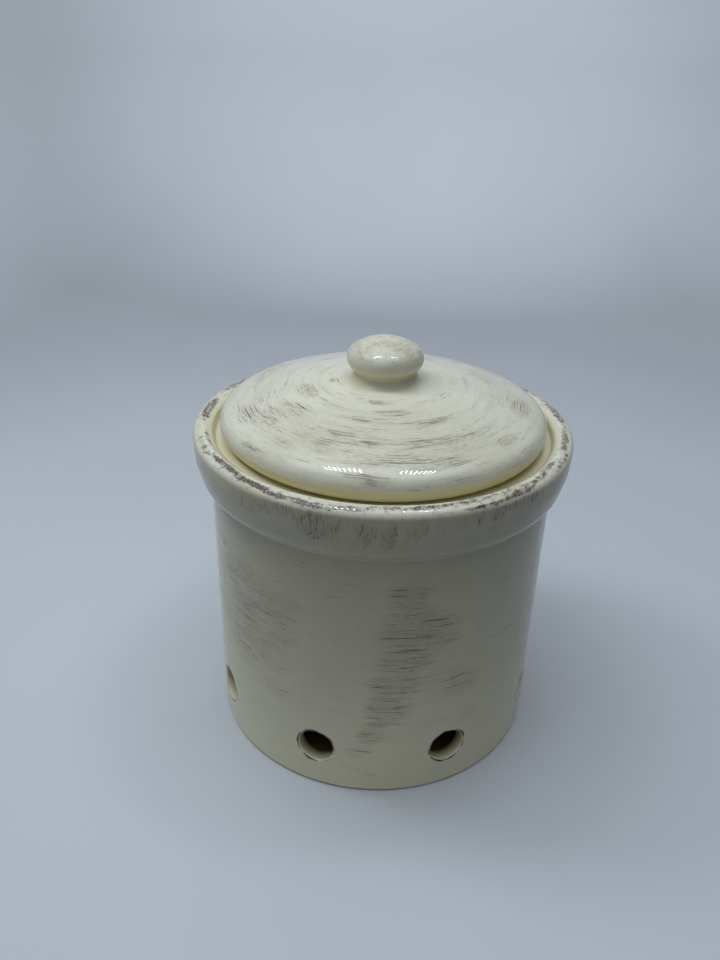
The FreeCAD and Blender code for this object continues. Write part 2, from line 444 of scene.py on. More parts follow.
def lid_shape(sizes):
    """The lid from its joint with the knob, over the crown and the roll into its hollow."""
    crown, sweep = crown_centre(sizes), neck_sweep_centre(sizes)
    roll_radius = sizes.roll / MM
    roll = Vector((sizes.radius / MM - roll_radius, LEDGE + roll_radius))
    # The shoulder touches crown and roll from inside, so its centre has a known distance from
    # the centre of each.
    from_crown, from_roll = sizes.crown / MM - SHOULDER_RADIUS, SHOULDER_RADIUS - roll_radius
    base = roll - crown
    reach = (from_crown ** 2 - from_roll ** 2 + base.length ** 2) / (2 * base.length)
    aside = math.sqrt(from_crown ** 2 - reach ** 2)
    along = base.normalized()
    shoulder = crown + along * reach + Vector((-along.y, along.x)) * aside
    hollow = Vector((0, HOLLOW_TOP - HOLLOW_RADIUS))
    corner = reached(hollow, HOLLOW_RADIUS - HOLLOW_CORNER, FLANGE_INNER - HOLLOW_CORNER)

    shape = bmesh.new()
    pen = OutlinePen(shape, (0, sweep.y))
    pen.run((NECK_RADIUS, sweep.y))
    pen.sweep(sweep, crown)
    pen.sweep(crown, shoulder)
    pen.sweep(shoulder, roll)
    pen.sweep(roll, roll - Vector((0, 1)))
    pen.through([
        (FLANGE_OUTER + FLANGE_DRAFT, LEDGE, FLANGE_ROOT),
        (FLANGE_OUTER, FLANGE_BOTTOM, FLANGE_EDGE),
        (FLANGE_INNER, FLANGE_BOTTOM, FLANGE_EDGE),
        (FLANGE_INNER, corner.y),
    ])
    pen.sweep(corner, corner + (corner - hollow))
    pen.sweep(hollow, (0, HOLLOW_TOP))
    turn_shape(shape)
    return shape


def knob_shape(sizes):
    """The knob from its joint, up the neck and over its flattened ball."""
    base = neck_sweep_centre(sizes).y
    side = Vector((sizes.knob_radius / MM - KNOB_SIDE, KNOB_EQUATOR))
    crease_reach = KNOB_SIDE + CREASE
    crease = Vector((NECK_RADIUS + CREASE, side.y - math.sqrt(
        crease_reach ** 2 - (NECK_RADIUS + CREASE - side.x) ** 2)))
    rise = sizes.knob_top / MM - KNOB_EQUATOR
    top_radius = (side.x ** 2 + rise ** 2 - KNOB_SIDE ** 2) / (2 * (rise - KNOB_SIDE))
    top = Vector((0, sizes.knob_top / MM - top_radius))

    shape = bmesh.new()
    pen = OutlinePen(shape, (0, base))
    pen.run((NECK_RADIUS, base))
    pen.run((NECK_RADIUS, crease.y))
    pen.sweep(crease, side)
    pen.sweep(side, side + (side - top))
    pen.sweep(top, (0, sizes.knob_top / MM))
    turn_shape(shape)
    return shape


# ---- brushwork -----------------------------------------------------------------------------
# A dab is where a loaded brush was laid: azimuth, place, half width in degrees, half length
# in millimetres, strength. Its place is a height on the crock's wall and band, and a radius on
# the rim's crest, the lid and the knob.
DAB_FULL, DAB_GONE = 0.4333, 1.1      # as shares of its half width and half length
WALL_DABS = [
    (5, 87, 9, 8, 0.70), (7, 75, 12, 9, 0.85), (3, 69, 8, 7, 0.60), (6, 61, 10, 8, 0.90),
    (3, 50, 10, 7, 0.85), (1, 39, 10, 9, 0.90), (-4, 28, 7, 7, 0.65), (-8, 19, 7, 4, 0.60),
    (-5, 7, 6, 3, 0.45), (8, 62, 24, 32, 0.42), (15, 72, 12, 11, 0.55), (17, 90, 16, 9, 0.35),
    (26, 47, 9, 8, 0.55), (30, 30, 7, 5, 0.50), (48, 58, 14, 22, 0.40), (36, 14, 10, 8, 0.25),
    (-57, 84, 15, 11, 0.50), (-50, 76, 20, 12, 0.62), (-42, 64, 20, 12, 0.62),
    (-57, 60, 16, 14, 0.60), (-44, 50, 20, 10, 0.55), (-36, 76, 15, 10, 0.45),
    (-60, 44, 15, 9, 0.45), (-74, 64, 13, 24, 0.50), (-38, 38, 13, 7, 0.40),
    (-32, 92, 13, 5, 0.30), (-22, 24, 13, 8, 0.28),
    (86, 86, 15, 10, 0.50), (90, 72, 18, 12, 0.68), (87, 57, 15, 12, 0.72),
    (94, 42, 17, 11, 0.62), (86, 29, 13, 9, 0.42), (112, 60, 24, 32, 0.36),
    (126, 82, 17, 10, 0.42), (131, 68, 19, 12, 0.58), (137, 53, 16, 11, 0.70),
    (141, 39, 19, 11, 0.60), (133, 26, 14, 8, 0.38), (157, 60, 22, 32, 0.36),
    (167, 87, 15, 9, 0.48), (172, 74, 18, 11, 0.64), (177, 60, 15, 12, 0.78),
    (-178, 46, 18, 11, 0.68), (-171, 33, 15, 9, 0.56), (-176, 21, 12, 7, 0.36),
    (-147, 85, 18, 9, 0.40), (-141, 72, 18, 12, 0.58), (-136, 58, 16, 12, 0.70),
    (-130, 44, 19, 11, 0.60), (-138, 31, 15, 9, 0.42), (-156, 60, 22, 32, 0.36),
    (-105, 88, 16, 9, 0.42), (-100, 75, 16, 12, 0.58), (-103, 61, 18, 12, 0.66),
    (-98, 47, 16, 11, 0.58), (-107, 34, 16, 9, 0.42), (-119, 60, 22, 32, 0.36),
]
BAND_DABS = [
    (-21, 114, 7, 7, 1.00), (-13, 116, 6, 4, 0.55), (-7, 114, 3, 7, 0.85),
    (-1, 113, 3, 7, 0.90), (6, 116, 4, 6, 0.70), (16, 116, 8, 4, 0.50),
    (26, 117, 8, 4, 0.70), (38, 118, 10, 3, 0.85),
    (52, 117, 8, 4, 0.50), (-31, 117, 9, 4, 0.75), (-42, 115, 9, 5, 0.75),
    (-54, 114, 8, 5, 0.60), (-68, 116, 10, 5, 0.55), (78, 114, 10, 7, 0.70),
    (104, 117, 12, 5, 0.60),
    (126, 113, 7, 8, 0.85), (150, 116, 11, 6, 0.55), (172, 113, 7, 7, 0.80),
    (-164, 117, 10, 5, 0.60), (-140, 114, 8, 7, 0.75), (-118, 117, 12, 5, 0.55),
    (-98, 113, 7, 8, 0.80),
]
CREST_DABS = [
    (-72, 63.4, 13, 1.3, 0.80), (-70, 66.3, 14, 1.3, 0.70), (-54, 65.2, 12, 1.4, 1.00),
    (-42, 66.2, 10, 1.4, 1.00), (-32, 66.8, 9, 1.3, 1.00), (-22, 67.0, 9, 1.3, 1.00),
    (-12, 66.4, 8, 1.4, 0.85), (-2, 65.6, 8, 1.4, 0.75), (10, 65.6, 9, 1.5, 0.90),
    (22, 65.0, 9, 1.8, 0.75), (24, 67.8, 9, 0.9, 0.95), (36, 67.3, 9, 1.0, 1.00),
    (34, 65.0, 9, 1.6, 0.65), (45, 66.0, 8, 1.4, 0.80), (54, 64.6, 9, 1.5, 0.85),
    (60, 67.0, 10, 1.2, 0.75), (74, 65.0, 12, 2.0, 0.85), (96, 65.4, 16, 2.4, 0.90),
    (120, 65.2, 16, 2.2, 0.85), (146, 65.6, 16, 2.0, 0.80), (170, 65.0, 16, 2.4, 0.95),
    (-166, 65.4, 14, 2.2, 0.80), (-144, 65.2, 14, 2.6, 0.95), (-120, 65.0, 14, 2.4, 0.85),
    (-97, 64.4, 14, 2.4, 0.95),
]
LID_DABS = [
    (-74, 28, 20, 4.5, 1.00), (-85, 18, 14, 2.5, 0.90), (-86, 34, 14, 4.0, 0.60),
    (-72, 50, 10, 4.5, 0.95), (-62, 45, 10, 5.0, 0.75), (-60, 38, 14, 4.0, 0.75),
    (-113, 38, 10, 3.0, 0.50), (-8, 21, 16, 2.2, 1.00), (2, 27, 16, 2.8, 0.70),
    (22, 34, 18, 2.6, 0.90), (20, 43.5, 20, 2.2, 0.85), (-22, 41, 8, 3.0, 0.60),
    (-28, 48, 8, 2.4, 0.65), (-7, 44, 6, 2.0, 0.75), (2, 50, 19, 2.2, 1.00),
    (-7, 52.2, 12, 1.6, 0.95), (-5, 57.2, 7, 1.6, 0.95), (16, 53.5, 14, 2.4, 0.65),
    (-42, 52, 7, 2.6, 0.65), (-50, 57, 12, 2.6, 0.60), (59, 24, 12, 3.0, 0.70),
    (96, 30, 14, 3.5, 0.60), (80, 49, 12, 5.0, 0.80), (49, 51.5, 8, 2.4, 0.90),
    (-118, 47, 16, 6.0, 0.80), (-146, 34.5, 12, 3.5, 0.70), (-62, 44, 44, 15.0, 0.55),
    (2, 47, 50, 13.0, 0.64), (0, 30, 44, 8.0, 0.52), (62, 42, 50, 15.0, 0.52),
    (176, 50, 24, 7.0, 0.80), (150, 32, 18, 6.0, 0.65), (128, 50, 18, 6.0, 0.75),
    (-150, 52, 18, 5.0, 0.75), (110, 40, 16, 6.0, 0.60), (-172, 27, 20, 5.0, 0.70),
    # The widest dabs on the lid's far side, at 180, -118 and 118 degrees, are faint brushwork
    # that also darkens the back of the lid as painted shade.
    (104, 54, 14, 4.0, 0.60), (180, 42, 60, 16.0, 0.54), (-118, 42, 36, 15.0, 0.50),
    (118, 42, 36, 15.0, 0.48),
]
KNOB_DABS = [
    (-20, 5, 60, 5.0, 0.50), (60, 9, 40, 3.0, 0.50), (-80, 11, 40, 2.5, 0.65),
    (10, 12.6, 40, 1.6, 0.40), (150, 6, 60, 4.0, 0.70), (-150, 11, 40, 2.5, 0.60),
]


def laid(dabs, azimuth, place):
    """How much colour these dabs leave at a place, from 0 to 1."""
    bare = 1.0
    for dab_azimuth, dab_place, half_width, half_length, strength in dabs:
        across = abs((azimuth - dab_azimuth + 180) % 360 - 180) / half_width
        up = abs(place - dab_place) / half_length
        bare *= 1 - strength * ease(math.hypot(across, up), DAB_GONE, DAB_FULL)
    return 1 - bare


def brush(shape, layer, reach, dabs=(), everywhere=1.0, upright=False):
    """Stores how much colour or thick glaze lies on each vertex, in a layer of their own.

    Some lies everywhere and more under the dabs. reach says, from a radius and a height, how
    much of that a part of the piece takes. The dabs' places are heights on an upright part.
    """
    amount = shape.verts.layers.float.new(layer)
    for vertex in shape.verts:
        place = vertex.co / MM
        radius = math.hypot(place.x, place.y)
        share = reach(radius, place.z)
        if share:
            spot = place.z if upright else radius
            vertex[amount] = share * max(everywhere, laid(dabs, azimuth_of(place), spot))


# ---- glaze ---------------------------------------------------------------------------------
IOR = 1.5                     # of glaze, and near enough of clay
WANDER_SPAN, WANDER = 60.0, 6.0       # the hand wanders about a millimetre over this span
POOL_SPAN = 18.0              # from one place where the slip pooled to the next
RUB_SPAN = 4.0                # of the worn spots in a vent lip's stain
PEEL_SPAN = 3.0               # fired gloss keeps a faint orange peel, about 2 mm across
GRIT_SPAN = 0.6               # of the clay, coarser than it is so that it shows
RELIEF = 0.05                 # full height of the orange peel and of the clay's grit

# What a stroke's noise is like: its length and width as shares of a dash's, and its detail.
PATCHES = (2.2, 8.0, 3)
LINES = (3.0, 1.0, 1)
DASHES = (0.8, 1.2, 3)
FILM = (0.3, 1.3, 4)
STROKE_ROUGHNESS = 0.6
NO_COVER = 0.67               # noise hardly reaches this, so a lifted brush leaves no dash


class Strokes(NamedTuple):
    """How one kind of dry-brush stroke looks."""
    layer: str                # vertices' layer that says how much colour the brush left
    tint: str
    length: float             # of a dash, in millimetres
    width: float
    cover: float              # noise above this is coloured where the brush left the most
    strength: float           # of the dashes' colour
    film: float               # of the haze round them
    upright: bool = False     # runs along the piece's outline and not round the piece


def add_node(tree, kind, links=None, **settings):
    """Adds a node. links are values, sockets or nodes for its inputs by name or number."""
    node = tree.nodes.new("ShaderNode" + kind)
    for name, value in settings.items():
        setattr(node, name, value)
    for place, value in (links or {}).items():
        if isinstance(value, bpy.types.Node):
            value = value.outputs[0]
        if isinstance(value, bpy.types.NodeSocket):
            tree.links.new(value, node.inputs[place])
        else:
            node.inputs[place].default_value = value
    return node


def empty_tree(owner):
    """The node tree of a new material or world, cleared."""
    owner.use_nodes = True
    owner.node_tree.nodes.clear()
    return owner.node_tree


def add_strokes(tree, place, along, strokes):
    """Dry-brush strokes: how dark each is, from 0 to 1, and the thin haze round them."""
    def trace(long_share, narrow_share, detail):
        """Noise that is stretched along the stroke."""
        long_side, narrow_side = strokes.length * long_share, strokes.width * narrow_share
        round_pot, along_outline = (
            (narrow_side, long_side) if strokes.upright else (long_side, narrow_side))
        stretch = 1 / (round_pot * MM)
        drift = add_node(tree, "Math", {0: along, 1: 1 / along_outline}, operation="MULTIPLY")
        third = add_node(tree, "CombineXYZ", {"Z": drift})
        spot = add_node(tree, "VectorMath", {0: place, 1: (stretch, stretch, 0), 2: third},
                        operation="MULTIPLY_ADD")
        return add_node(tree, "TexNoise", {"Vector": spot, "Scale": 1.0, "Detail": detail,
                                           "Roughness": STROKE_ROUGHNESS})

    amount = add_node(tree, "Attribute", attribute_name=strokes.layer).outputs["Fac"]
    # The brush presses unevenly, so colour comes off it in long thin patches.
    skipped = add_node(tree, "MapRange", {
        "Value": trace(*PATCHES), "From Min": 0.36, "From Max": 0.68,
        "To Min": 0.85, "To Max": 0.0})
    pressed = add_node(tree, "Math", {0: amount, 1: 1.5}, operation="MULTIPLY")
    pressed = add_node(tree, "Math", {0: pressed, 1: skipped}, operation="SUBTRACT",
                       use_clamp=True)
    # Each bristle leaves a long thin line, broken where it skips over the clay's low spots.
    bristle = add_node(tree, "Math", {0: trace(*LINES), 1: trace(*DASHES)})
    bristle = add_node(tree, "Math", {0: bristle, 1: 0.5}, operation="MULTIPLY")
    bar = add_node(tree, "MapRange", {
        "Value": pressed, "To Min": NO_COVER, "To Max": strokes.cover})
    over = add_node(tree, "Math", {0: bristle, 1: bar}, operation="SUBTRACT")
    dark = add_node(tree, "MapRange", {
        "Value": over, "From Min": -0.03, "From Max": 0.06, "To Max": strokes.strength},
        interpolation_type="SMOOTHSTEP")
    # No dash stands alone where the brush left almost nothing.
    some = add_node(tree, "MapRange", {"Value": amount, "From Min": 0.03, "From Max": 0.15})
    dark = add_node(tree, "Math", {0: dark, 1: some}, operation="MULTIPLY")
    # A thin film stays between the bristles' lines, finely broken up.
    haze = add_node(tree, "MapRange", {
        "Value": trace(*FILM), "From Min": 0.25, "From Max": 0.70, "To Max": strokes.film})
    thin = add_node(tree, "Math", {0: pressed, 1: amount})
    thin = add_node(tree, "Math", {0: thin, 1: 0.6}, operation="MULTIPLY", use_clamp=True)
    haze = add_node(tree, "Math", {0: haze, 1: thin}, operation="MULTIPLY")
    return dark, haze


def antique_glaze(name, colours, kinds, lips=False):
    """Clear gloss over cream slip and dry-brushed umber, fired on slip-cast stoneware.

    The gloss is smooth enough to mirror a lamp sharply. Under it the slip is slightly warmer
    where it pooled, and the glass is straw-coloured where it ran together, which in the hollows
    is also painted shade. The "thick" layer goes from 0 to 1 for that, and on to 2 for a darker
    colour over the inside, which is painted shade. The brushwork is broken into dashes by the
    bristles and by the clay.
    """
    material = bpy.data.materials.new(name)
    tree = empty_tree(material)
    place = add_node(tree, "TexCoord").outputs["Object"]
    wander = add_node(tree, "TexNoise", {
        "Vector": place, "Scale": 1 / (WANDER_SPAN * MM), "Detail": 1.0})
    along = add_node(tree, "Attribute", attribute_name="along").outputs["Fac"]
    along = add_node(tree, "Math", {0: wander, 1: WANDER, 2: along}, operation="MULTIPLY_ADD")
    pooling = add_node(tree, "TexNoise", {
        "Vector": place, "Scale": 1 / (POOL_SPAN * MM), "Detail": 3.0})
    pooling = add_node(tree, "MapRange", {"Value": pooling, "From Min": 0.35, "From Max": 0.75})
    thick = add_node(tree, "Attribute", attribute_name="thick").outputs["Fac"]
    # Past 1, the level turns the inside darker: painted shade.
    inside_shade_share = add_node(tree, "Math", {0: thick, 1: 1.0}, operation="SUBTRACT", use_clamp=True)
    coats = [(pooling, colours.pooled), (thick, colours.straw), (inside_shade_share, colours.inside_shade)]
    for strokes in kinds:
        dark, haze = add_strokes(tree, place, along, strokes)
        coats += [(haze, colours.haze), (dark, strokes.tint)]
    if lips:
        lip = add_node(tree, "Attribute", attribute_name="lip").outputs["Fac"]
        rub = add_node(tree, "TexNoise", {
            "Vector": place, "Scale": 1 / (RUB_SPAN * MM), "Detail": 3.0})
        rub = add_node(tree, "Math", {0: rub, 1: lip}, operation="MULTIPLY")
        rub = add_node(tree, "MapRange", {"Value": rub, "From Min": 0.34, "From Max": 0.47})
        coats.append((rub, colours.plum))
    paint = linear(colours.cream)
    for share, tint in coats:
        coat = add_node(tree, "Mix", {0: share, 6: paint, 7: linear(tint)}, data_type="RGBA")
        paint = coat.outputs[2]
    peel = add_node(tree, "TexNoise", {
        "Vector": place, "Scale": 1 / (PEEL_SPAN * MM), "Detail": 1.0})
    bump = add_node(tree, "Bump", {"Height": peel, "Strength": 0.03, "Distance": RELIEF * MM})
    shader = add_node(tree, "BsdfPrincipled", {
        "Base Color": paint, "Roughness": 0.03, "IOR": IOR, "Normal": bump})
    add_node(tree, "OutputMaterial", {"Surface": shader})
    return material


def bare_clay(name, colours):
    """Bisque-fired stoneware, wiped clean of glaze: matt and finely speckled."""
    material = bpy.data.materials.new(name)
    tree = empty_tree(material)
    place = add_node(tree, "TexCoord").outputs["Object"]
    grit = add_node(tree, "TexNoise", {
        "Vector": place, "Scale": 1 / (GRIT_SPAN * MM), "Detail": 3.0})
    speckle = add_node(tree, "MapRange", {"Value": grit, "From Min": 0.62, "From Max": 0.72})
    paint = add_node(tree, "Mix", {0: speckle, 6: linear(colours.bisque),
                                   7: linear(colours.haze)}, data_type="RGBA")
    bump = add_node(tree, "Bump", {"Height": grit, "Strength": 0.3, "Distance": RELIEF * MM})
    shader = add_node(tree, "BsdfPrincipled", {
        "Base Color": paint.outputs[2], "Roughness": 0.85, "IOR": IOR, "Normal": bump})
    add_node(tree, "OutputMaterial", {"Surface": shader})
    return material


# ---- operators -----------------------------------------------------------------------------
# A pair says where a layer of brushwork or of thick glaze starts and where it is full. What
# is named for an inner or outer edge is a radius, and the rest of the places are heights.
WALL_FOOT, WALL_TOP = (0.5, 3.5), (BAND_BOTTOM - 0.5, BAND_BOTTOM - 4.5)
WALL_SKIN = 1.5               # what lies deeper than this isn't the wall's outer face
BAND_LOW, BAND_HIGH, BAND_INNER = (104.0, 108.0), 121.5, 65.5
CREST_LOW, CREST_INNER = (119.0, 120.6), (62.0, 63.5)
INSIDE_SHADE_BOTTOM, INSIDE_SHADE_TOP = 1.0, LEDGE - 2
INSIDE_SHADE_SKIN = 3.0              # the inside's painted shade lies deeper than this behind the outer face
GALLERY_OUTER = 62.0
CROCK_RUN = (121.0, 118.0)    # glaze ran down from here
LID_LOW, LID_INNER = (121.5, 124.5), (14.0, 17.0)
NECK_OUTER, CROWN_INNER = (17.0, 14.0), 20.0
ROLL_RUN, ROLL_BOTTOM = (124.0, 121.0), LEDGE - 1
BALL_LOW, CREASE_RUN = (144.5, 147.5), (143.5, 141.5)
# Glaze lying thick in the gallery, round the knob's neck, under the lid's roll and in the
# knob's crease is straw-tinted partly as pooled glaze and partly as painted shade of those
# hollows. A level of 2 inside the crock is painted shade.
INSIDE_SHADE_THICK, GALLERY_POOL_AND_SHADE, CROCK_THICK = 2.0, 0.6, 0.4     # how thick the glaze lies; 2 is the inside's painted shade
NECK_POOL_AND_SHADE, ROLL_POOL_AND_SHADE, CREASE_POOL_AND_SHADE = 0.35, 0.8, 0.5
BARE_UNDER = 0.05             # the foot is wiped below this height


class BuildCrock(bpy.types.Operator):
    """Turns the crock, opens its vents and glazes it."""
    bl_idname = "garlic_keeper.crock"
    bl_label = "Crock"

    def execute(self, context):
        sizes, colours = context.scene.crock_sizes, context.scene.glaze_colours
        shape = crock_shape(sizes)
        cut_vents(shape, sizes)
        outside = outer_wall(sizes)

        def on_wall(radius, height):
            if radius < outside.radius(height) - WALL_SKIN:
                return 0
            return ease(height, *WALL_FOOT) * ease(height, *WALL_TOP)

        def on_band(radius, height):
            return ease(height, *BAND_LOW) if radius > BAND_INNER and height < BAND_HIGH else 0

        def on_crest(radius, height):
            return ease(height, *CREST_LOW) * ease(radius, *CREST_INNER)

        # Straw in the gallery is pooled glaze and painted shade; inside the wall the level
        # rises to 2, a darker colour that is painted shade.
        def thick_glaze_and_shade(radius, height):
            within = radius < outside.radius(height) - INSIDE_SHADE_SKIN
            if within and INSIDE_SHADE_BOTTOM < height < INSIDE_SHADE_TOP:
                return INSIDE_SHADE_THICK
            if radius > GALLERY_OUTER or height < INSIDE_SHADE_TOP:
                return CROCK_THICK * ease(height, *CROCK_RUN)
            return GALLERY_POOL_AND_SHADE

        brush(shape, "brushed", on_wall, WALL_DABS, everywhere=0.26, upright=True)
        brush(shape, "streaked", on_band, BAND_DABS, everywhere=0.32, upright=True)
        brush(shape, "rubbed", on_crest, CREST_DABS, everywhere=0.40)
        brush(shape, "thick", thick_glaze_and_shade)
        glaze = antique_glaze("Antiqued_cream_gloss_glaze_crock", colours, [
            Strokes("brushed", colours.umber, length=8.0, width=0.26, cover=0.55,
                    strength=0.84, film=0.50),
            Strokes("streaked", colours.umber, length=5.0, width=0.30, cover=0.545,
                    strength=0.78, film=0.50, upright=True),
            Strokes("rubbed", colours.plum, length=1.1, width=0.26, cover=0.42,
                    strength=0.94, film=0.70, upright=True),
        ], lips=True)
        clay = bare_clay("Bisque_stoneware_wiped_foot", colours)
        for face in shape.faces:
            if all(vertex.co.z < BARE_UNDER * MM for vertex in face.verts):
                face.material_index = 1
        finish_piece(shape, "crock", "crock", [glaze, clay])
        return {"FINISHED"}


class BuildLid(bpy.types.Operator):
    """Turns the lid and glazes it."""
    bl_idname = "garlic_keeper.lid"
    bl_label = "Lid"

    def execute(self, context):
        sizes, colours = context.scene.lid_sizes, context.scene.glaze_colours
        shape = lid_shape(sizes)

        def on_top(radius, height):
            return ease(height, *LID_LOW) * ease(radius, *LID_INNER)

        # Straw round the neck and on the roll's underside: pooled glaze and painted shade of
        # those hollows.
        def pooled_glaze_and_shade(radius, height):
            if radius < CROWN_INNER:
                return NECK_POOL_AND_SHADE * ease(radius, *NECK_OUTER)
            return ROLL_POOL_AND_SHADE * ease(height, *ROLL_RUN) if height > ROLL_BOTTOM else 0

        brush(shape, "brushed", on_top, LID_DABS, everywhere=0.46)
        brush(shape, "thick", pooled_glaze_and_shade)
        glaze = antique_glaze("Antiqued_cream_gloss_glaze_lid", colours, [
            Strokes("brushed", colours.umber, length=7.0, width=0.30, cover=0.535,
                    strength=0.80, film=0.54)])
        finish_piece(shape, "lid", "lid", [glaze])
        return {"FINISHED"}


class BuildKnob(bpy.types.Operator):
    """Turns the knob and glazes it."""
    bl_idname = "garlic_keeper.knob"
    bl_label = "Knob"

    def execute(self, context):
        sizes, colours = context.scene.lid_sizes, context.scene.glaze_colours
        shape = knob_shape(sizes)

        def on_ball(radius, height):
            return ease(height, *BALL_LOW)

        # Straw in the crease under the ball: pooled glaze and painted shade.
        def crease_pool_and_shade(radius, height):
            return CREASE_POOL_AND_SHADE * ease(height, *CREASE_RUN)

        brush(shape, "brushed", on_ball, KNOB_DABS, everywhere=0.52)
        brush(shape, "thick", crease_pool_and_shade)
        glaze = antique_glaze("Antiqued_cream_gloss_glaze_knob", colours, [
            Strokes("brushed", colours.plum, length=1.5, width=0.40, cover=0.54,
                    strength=0.70, film=0.80)])
        finish_piece(shape, "knob", "lid", [glaze])
        return {"FINISHED"}


# ---- studio --------------------------------------------------------------------------------
TABLE_RADIUS = 140.0          # lit paper round the pot
PAPER_RADIUS = 480.0          # flat paper, which then curves up all round
PAPER_CURVE = 220.0
PAPER_WALL = PAPER_RADIUS + PAPER_CURVE
PAPER_TOP = 900.0
PAPER_CELLS, PAPER_STEPS = 12, 96     # faces along a straight run, and round the pot
CLOUD_SPAN, CLOUD = 120.0, 0.93       # width of the paper's clouds, and how bright they are
PAPER_PAINTED_SHADE = 0.85             # painted shade: the wall's paper is this much as bright as the floor's
FADE_START, FADE_END = 0.6 * PAPER_RADIUS, 1.2 * PAPER_RADIUS    # from the pot's axis
PANEL_HEIGHT = 475.0          # two lamp panels hang almost overhead
PANEL_FROM_AXIS = 4.0         # farther away than the pot's axis
PANEL_DEPTH = 44.0
PANELS = ((-86.0, 96.0), (82.0, 88.0))   # middle and width of each
PANEL_BARS = 8
PANEL_FILL = 0.28             # bar's share of the pitch
PANEL_POWER = 0.13
KEY_SIZE = (120.0, 120.0)     # soft lamp high on the left, which the glaze doesn't mirror
KEY_PLACE, KEY_TARGET = (-260.0, 30.0, PANEL_HEIGHT), (0.0, 0.0, 60.0)
KEY_POWER = 0.50
WASHES = ((230.0, 0.46), (520.0, 0.76))  # height and power of two rings of lamps on the wall
WASH_COUNT = 6
WASH_RADIUS = 500.0
WASH_SIZE = (500.0, 80.0)
LAMP_TINT = (0.80, 0.89, 1.0)
ROOM_TINT = (0.89, 1.0, 1.14)
ROOM_DIM = 0.01               # light from every other direction
# Soft glows: direction as the camera stands, where the glow starts and is full as the cosine
# of the angle to it, and its strength.
ROOM_GLOWS = (
    ((-0.05, -0.10, 1.0), 0.70, 1.00, 2.02),
    ((-1.0, -0.15, 0.50), 0.30, 1.00, 0.10),
    ((0.0, -1.0, 0.25), 0.40, 1.00, 0.13),
)
# Whoever holds the camera keeps the room's light off the pot from this direction.
VIEWER = ((0.0, -0.62, 0.78), 0.82, 0.95)
VIEWER_SHADE = 0.45           # light that still comes from there


def studio_paper(hex_value):
    """Matt background paper, clouded by handling, with painted shade darkening it toward its
    wall.
    """
    material = bpy.data.materials.new("Matt_background_paper")
    tree = empty_tree(material)
    place = add_node(tree, "TexCoord").outputs["Object"]
    cloud = add_node(tree, "TexNoise", {
        "Vector": place, "Scale": 1 / (CLOUD_SPAN * MM), "Detail": 2.0})
    paper = linear(hex_value)
    dull = [CLOUD * part for part in paper[:3]] + [1.0]
    paint = add_node(tree, "Mix", {0: cloud, 6: dull, 7: paper}, data_type="RGBA")
    level = add_node(tree, "VectorMath", {0: place, 1: (1, 1, 0)}, operation="MULTIPLY")
    reach = add_node(tree, "VectorMath", {0: level}, operation="LENGTH").outputs["Value"]
    # Painted shade: the paper darkens between these reaches from the pot's axis.
    painted_shade = add_node(tree, "MapRange", {
        "Value": reach, "From Min": FADE_START * MM, "From Max": FADE_END * MM,
        "To Min": 1.0, "To Max": PAPER_PAINTED_SHADE})
    paint = add_node(tree, "VectorMath", {0: paint.outputs[2], "Scale": painted_shade},
                     operation="SCALE")
    shader = add_node(tree, "BsdfPrincipled", {"Base Color": paint, "Roughness": 0.7})
    add_node(tree, "OutputMaterial", {"Surface": shader})
    return material


def spread_paper(name, material, start, end, curve=0.0):
    """A sheet of the stage, turned from a straight run that may follow a curve up."""
    shape = bmesh.new()
    pen = OutlinePen(shape, start)
    if curve:
        pen.sweep(Vector((start[0], curve)), (end[0], curve))
    pen.run(end, PAPER_CELLS)
    turn_shape(shape, PAPER_STEPS)
    sheet = smooth_object(shape, name, [material])
    return sheet


def lay_paper(hex_value):
    """A floor that curves up into a wall all round the pot.

    The glaze mirrors all of it, but light bounces to the pot only from the paper round it, as
    if the room beyond were dark.
    """
    material = studio_paper(hex_value)
    spread_paper("paper_table", material, (0, 0), (TABLE_RADIUS, 0))
    for sheet in (
            spread_paper("paper_floor", material, (TABLE_RADIUS, 0), (PAPER_RADIUS, 0)),
            spread_paper("paper_wall", material, (PAPER_RADIUS, 0), (PAPER_WALL, PAPER_TOP),
                         PAPER_CURVE)):
        sheet.visible_diffuse = sheet.visible_shadow = False


def add_lamp(name, area, place, target, power, studio):
    """An area light of this (width, depth) at a place, facing a target.

    Both are in millimetres as the camera stands: to its right, away from it and up.
    """
    lamp = bpy.data.lights.new(name, "AREA")
    lamp.shape = "RECTANGLE"
    lamp.size, lamp.size_y = area[0] * MM, area[1] * MM
    lamp.energy, lamp.color = power, LAMP_TINT
    light = bpy.data.objects.new(name, lamp)
    bpy.context.scene.collection.objects.link(light)
    turn = Matrix.Rotation(studio.camera_azimuth, 4, "Z")
    away = Vector(place) - Vector(target)
    light.matrix_world = (turn @ Matrix.Translation(Vector(place) * MM)
                          @ away.to_track_quat("Z", "Y").to_matrix().to_4x4())
    light.visible_camera = False
    return light


def hang_lamps(studio):
    """Lamps that the glaze mirrors, a soft key, and washes that face the paper wall."""
    for middle, width in PANELS:
        pitch = width / PANEL_BARS
        for bar in range(PANEL_BARS):
            across = middle + pitch * (bar - (PANEL_BARS - 1) / 2)
            here = (across, PANEL_FROM_AXIS, PANEL_HEIGHT)
            add_lamp("panel_bar", (pitch * PANEL_FILL, PANEL_DEPTH), here,
                     (across, PANEL_FROM_AXIS, 0), PANEL_POWER / PANEL_BARS, studio)
    key = add_lamp("key", KEY_SIZE, KEY_PLACE, KEY_TARGET, KEY_POWER, studio)
    key.visible_glossy = False
    for height, power in WASHES:
        for number in range(WASH_COUNT):
            turn = math.tau * number / WASH_COUNT
            outward = Vector((math.sin(turn), math.cos(turn), 0))
            level = Vector((0, 0, height))
            add_lamp("paper_wash", WASH_SIZE, outward * WASH_RADIUS + level,
                     outward * PAPER_WALL + level, power, studio)


